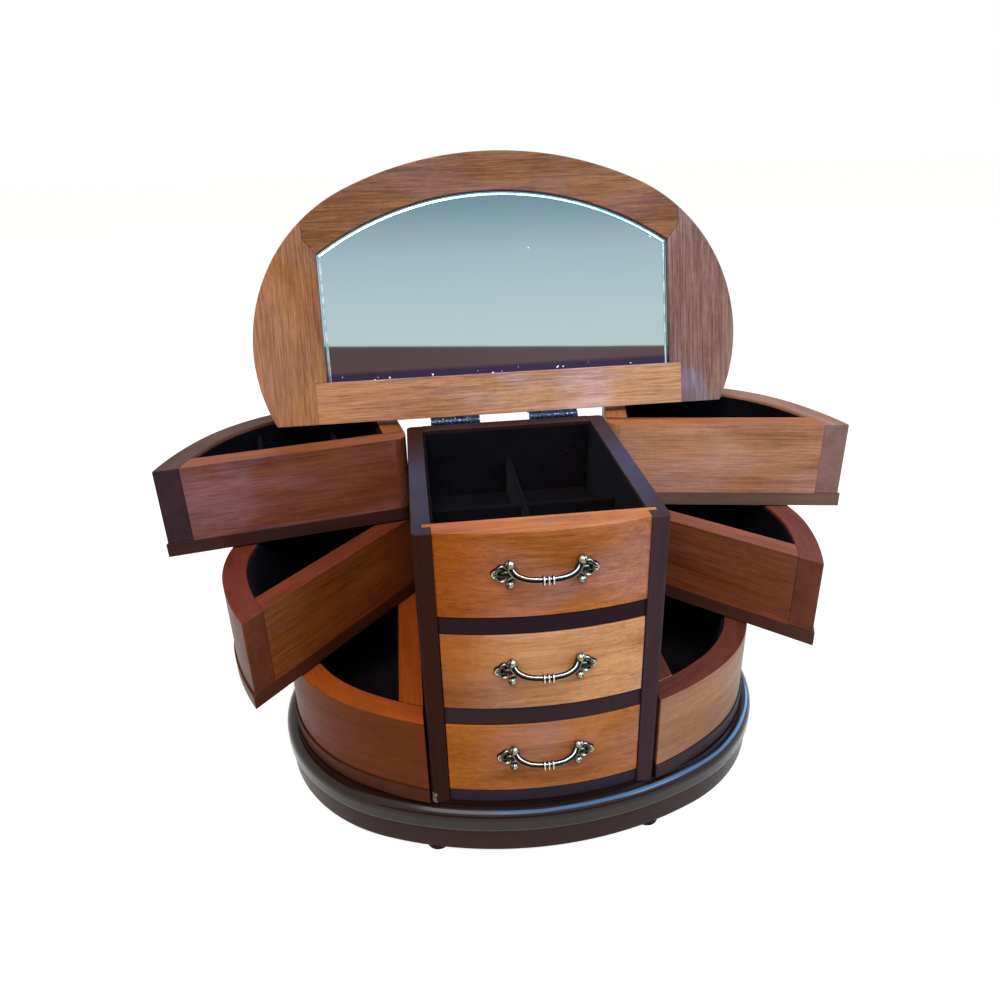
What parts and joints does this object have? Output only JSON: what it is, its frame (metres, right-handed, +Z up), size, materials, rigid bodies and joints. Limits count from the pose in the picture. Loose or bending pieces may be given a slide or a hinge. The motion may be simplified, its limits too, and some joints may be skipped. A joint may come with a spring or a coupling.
{
  "type": "oval jewellery chest",
  "caption": "Oval wooden jewellery chest with a mirrored lid, a central tower of bowed drawers under an open well, and tiers of side trays that swing out.",
  "frame": {"origin": "on the floor plane, midway between the four feet and in the middle of the plinth's depth", "axes": "+Z up; -Y out of the front, towards whoever opens the drawers; +X to the right in the front view"},
  "size_m": [0.3842, 0.2082, 0.3304],
  "materials": {
    "feet": "matt",
    "panel": "unfinished board",
    "dark_wood": "glossy dark stain",
    "post_wood": "glossy dark stain",
    "front_wood": "satin lacquer, grain across",
    "tray_wood": "satin lacquer, grain along",
    "lid_wood": "satin lacquer, straight grain",
    "lid_top_wood": "satin lacquer",
    "velvet": "black velvet",
    "mirror": "polished",
    "pull_brass": "antique",
    "hinge_steel": "dull",
    "rod_steel": "plain"
  },
  "bodies": {
    "chest": {"foot_pads": "feet", "base_panel": "panel", "plinth_skirt": "dark_wood", "plinth_top": "dark_wood", "tower_side_left": "post_wood", "tower_side_right": "post_wood", "tower_back": "dark_wood", "rail_upper": "dark_wood", "rail_middle": "dark_wood", "rail_lower": "dark_wood", "false_front": "front_wood", "shelf_boards": "panel", "well_lining": "velvet", "well_dividers": "velvet", "top_pull": "pull_brass", "tray_pivots": "rod_steel", "hinge_leaves_tower": "hinge_steel", "hinge_pins": "hinge_steel", "hinge_screws_tower": "hinge_steel"},
    "lid": {"lid_stile_left": "lid_wood", "lid_stile_right": "lid_wood", "lid_rail_top": "lid_wood", "lid_rail_bottom": "lid_wood", "mirror": "mirror", "lid_top": "lid_top_wood", "hinge_leaves_lid": "hinge_steel", "hinge_screws_lid": "hinge_steel"},
    "drawer_upper": {"drawer_upper_front": "front_wood", "drawer_upper_box": "panel", "drawer_upper_lining": "velvet", "drawer_upper_pull": "pull_brass"},
    "drawer_lower": {"drawer_lower_front": "front_wood", "drawer_lower_box": "panel", "drawer_lower_lining": "velvet", "drawer_lower_pull": "pull_brass"},
    "tray_lower_left": {"tray_lower_left_base": "dark_wood", "tray_lower_left_curved_wall": "tray_wood", "tray_lower_left_straight_walls": "tray_wood", "tray_lower_left_lining": "velvet"},
    "tray_lower_right": {"tray_lower_right_base": "dark_wood", "tray_lower_right_curved_wall": "tray_wood", "tray_lower_right_straight_walls": "tray_wood", "tray_lower_right_lining": "velvet"},
    "tray_middle_left": {"tray_middle_left_base": "dark_wood", "tray_middle_left_curved_wall": "tray_wood", "tray_middle_left_straight_walls": "tray_wood", "tray_middle_left_lining": "velvet"},
    "tray_middle_right": {"tray_middle_right_base": "dark_wood", "tray_middle_right_curved_wall": "tray_wood", "tray_middle_right_straight_walls": "tray_wood", "tray_middle_right_lining": "velvet"},
    "tray_upper_left": {"tray_upper_left_base": "dark_wood", "tray_upper_left_curved_wall": "tray_wood", "tray_upper_left_straight_walls": "tray_wood", "tray_upper_left_lining": "velvet", "tray_upper_left_dividers": "velvet"},
    "tray_upper_right": {"tray_upper_right_base": "dark_wood", "tray_upper_right_curved_wall": "tray_wood", "tray_upper_right_straight_walls": "tray_wood", "tray_upper_right_lining": "velvet"}
  },
  "joints": [
    {"name": "lid_hinge", "type": "hinge", "parent": "chest", "child": "lid", "pos_m": [0, 0.075, 0.18565], "axis": [1, 0, 0], "range_deg": [0, 106.1]},
    {"name": "drawer_upper_slide", "type": "slide", "parent": "chest", "child": "drawer_upper", "axis": [0, -1, 0], "range_m": [0, 0.085]},
    {"name": "drawer_lower_slide", "type": "slide", "parent": "chest", "child": "drawer_lower", "axis": [0, -1, 0], "range_m": [0, 0.085]},
    {"name": "tray_lower_left_pivot", "type": "hinge", "parent": "chest", "child": "tray_lower_left", "pos_m": [-0.0683, 0.0627, 0.1], "axis": [0, 0, -1], "range_deg": [0, 94]},
    {"name": "tray_lower_right_pivot", "type": "hinge", "parent": "chest", "child": "tray_lower_right", "pos_m": [0.0683, 0.0627, 0.1], "axis": [0, 0, 1], "range_deg": [0, 94]},
    {"name": "tray_middle_left_pivot", "type": "hinge", "parent": "chest", "child": "tray_middle_left", "pos_m": [-0.0683, 0.0627, 0.1], "axis": [0, 0, -1], "range_deg": [-39.3, 54.7]},
    {"name": "tray_middle_right_pivot", "type": "hinge", "parent": "chest", "child": "tray_middle_right", "pos_m": [0.0683, 0.0627, 0.1], "axis": [0, 0, 1], "range_deg": [-45.9, 48.1]},
    {"name": "tray_upper_left_pivot", "type": "hinge", "parent": "chest", "child": "tray_upper_left", "pos_m": [-0.0683, 0.0627, 0.1], "axis": [0, 0, -1], "range_deg": [-79.3, 14.7]},
    {"name": "tray_upper_right_pivot", "type": "hinge", "parent": "chest", "child": "tray_upper_right", "pos_m": [0.0683, 0.0627, 0.1], "axis": [0, 0, 1], "range_deg": [-79.3, 14.7]}
  ]
}
